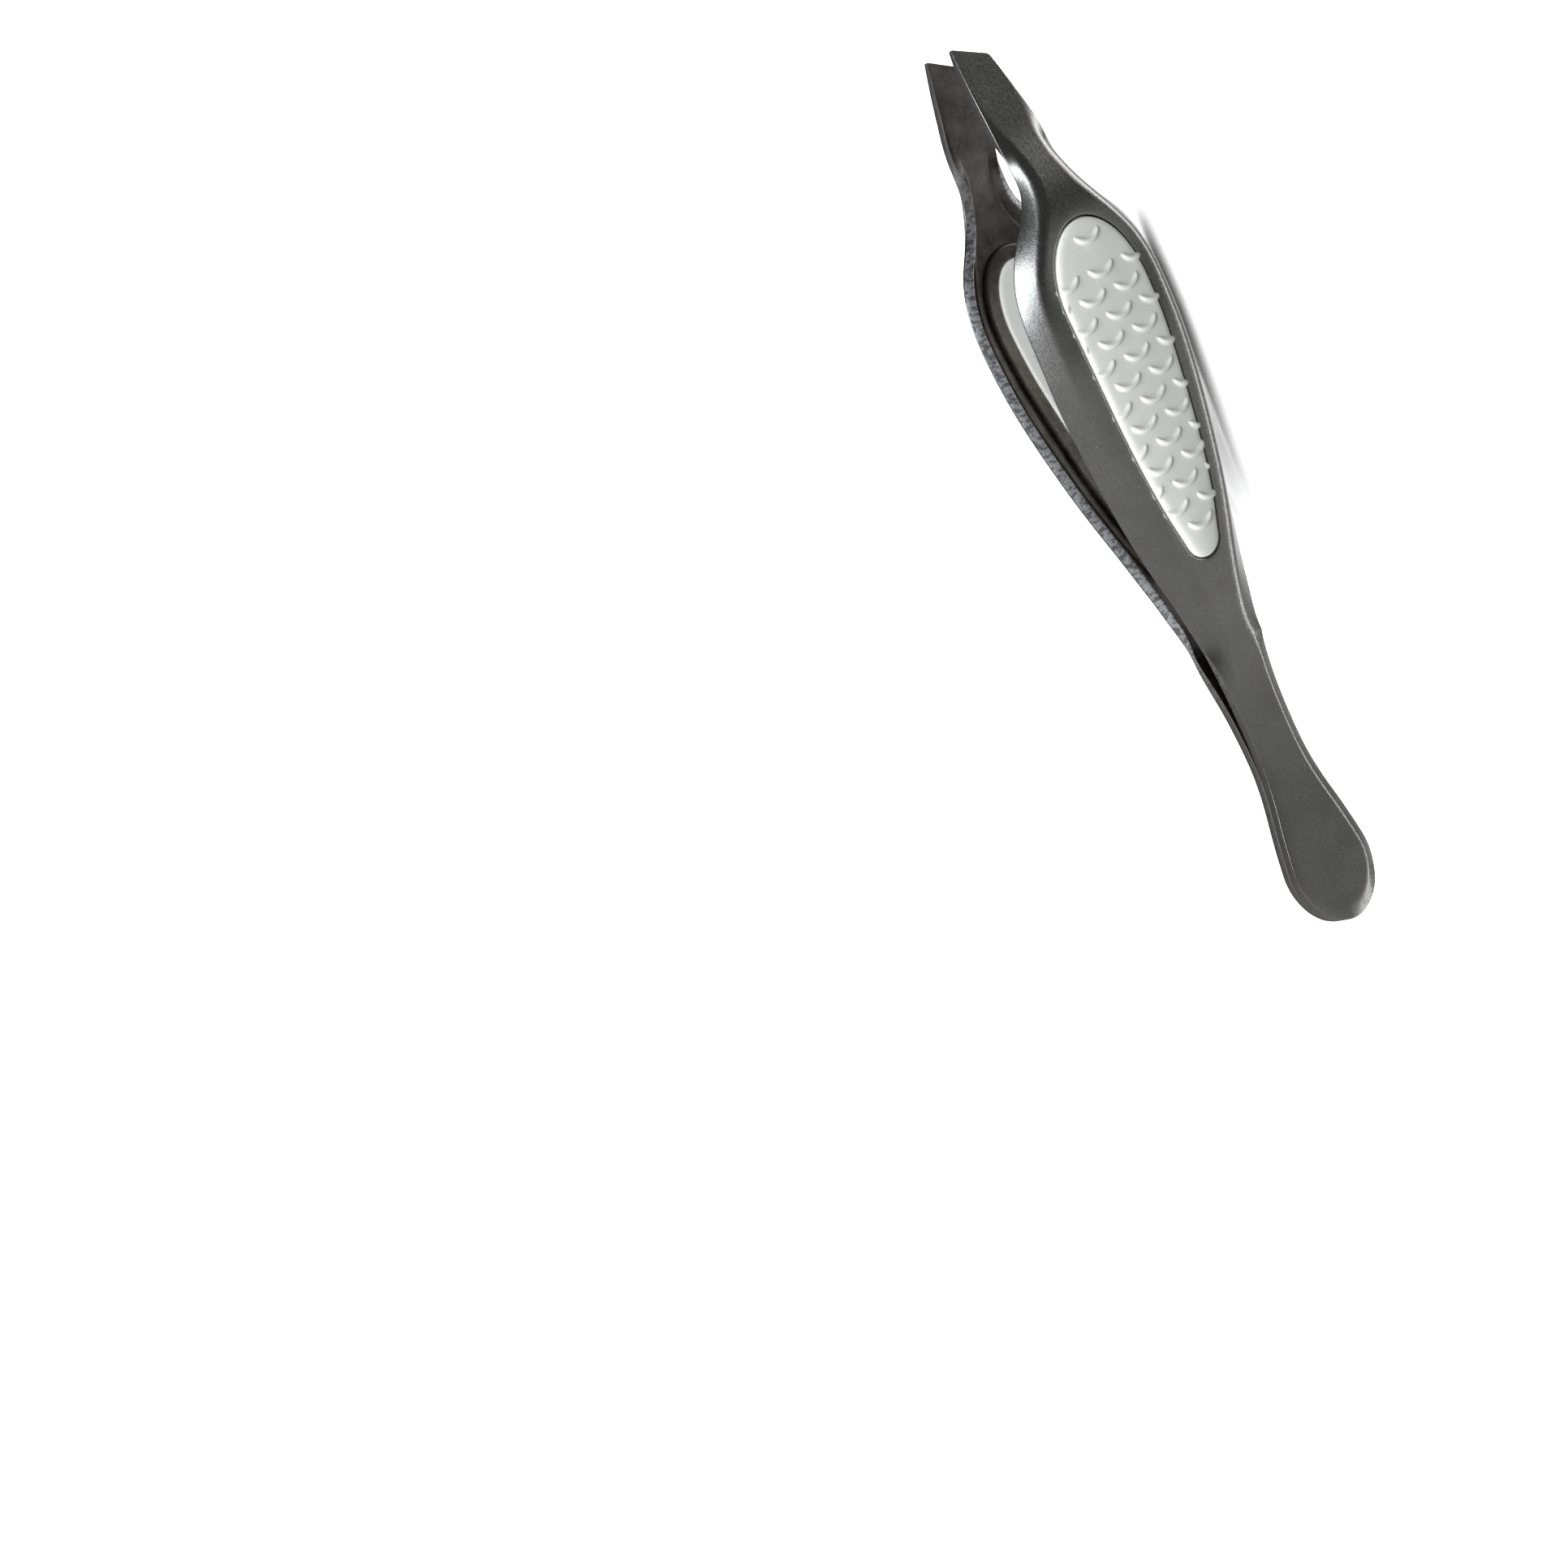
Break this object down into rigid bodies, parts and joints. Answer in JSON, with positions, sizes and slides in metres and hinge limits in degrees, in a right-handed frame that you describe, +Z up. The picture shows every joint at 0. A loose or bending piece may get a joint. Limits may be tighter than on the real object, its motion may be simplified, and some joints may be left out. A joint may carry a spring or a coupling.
{
  "type": "tweezers",
  "caption": "Slant-tip spring tweezers: mirrored stamped steel arms welded at a rounded tail, with soft ridged grip pads set in windows.",
  "frame": {"origin": "centre of the length and of the gap between the arms, at the level of the grip's lower edges", "axes": "+X towards the tips, Y across the gap between the arms with the front arm at -Y and the rear arm at +Y, +Z up across the width of the arms; the tool lies on its side"},
  "size_m": [0.09, 0.015, 0.017],
  "materials": {
    "arm_steel": "tumbled and polished stainless steel, finely mottled",
    "grip_pad": "satin white elastomer with crescent ridges",
    "weld": "dull spot weld"
  },
  "bodies": {
    "tail": {"front_tail": "arm_steel", "rear_tail": "arm_steel", "weld_spots": "weld"},
    "front_arm": {"front_arm": "arm_steel", "front_grip": "grip_pad"},
    "rear_arm": {"rear_arm": "arm_steel", "rear_grip": "grip_pad"}
  },
  "joints": [
    {"name": "front_arm_flex", "type": "hinge", "parent": "tail", "child": "front_arm", "pos_m": [-0.025, -0.0002, 0.0085], "axis": [0, 0, 1], "range_deg": [0, 1.62], "stiffness_Nm_per_rad": 2.5},
    {"name": "rear_arm_flex", "type": "hinge", "parent": "tail", "child": "rear_arm", "pos_m": [-0.025, 0.0002, 0.0085], "axis": [0, 0, -1], "range_deg": [0, 1.62], "stiffness_Nm_per_rad": 2.5}
  ]
}
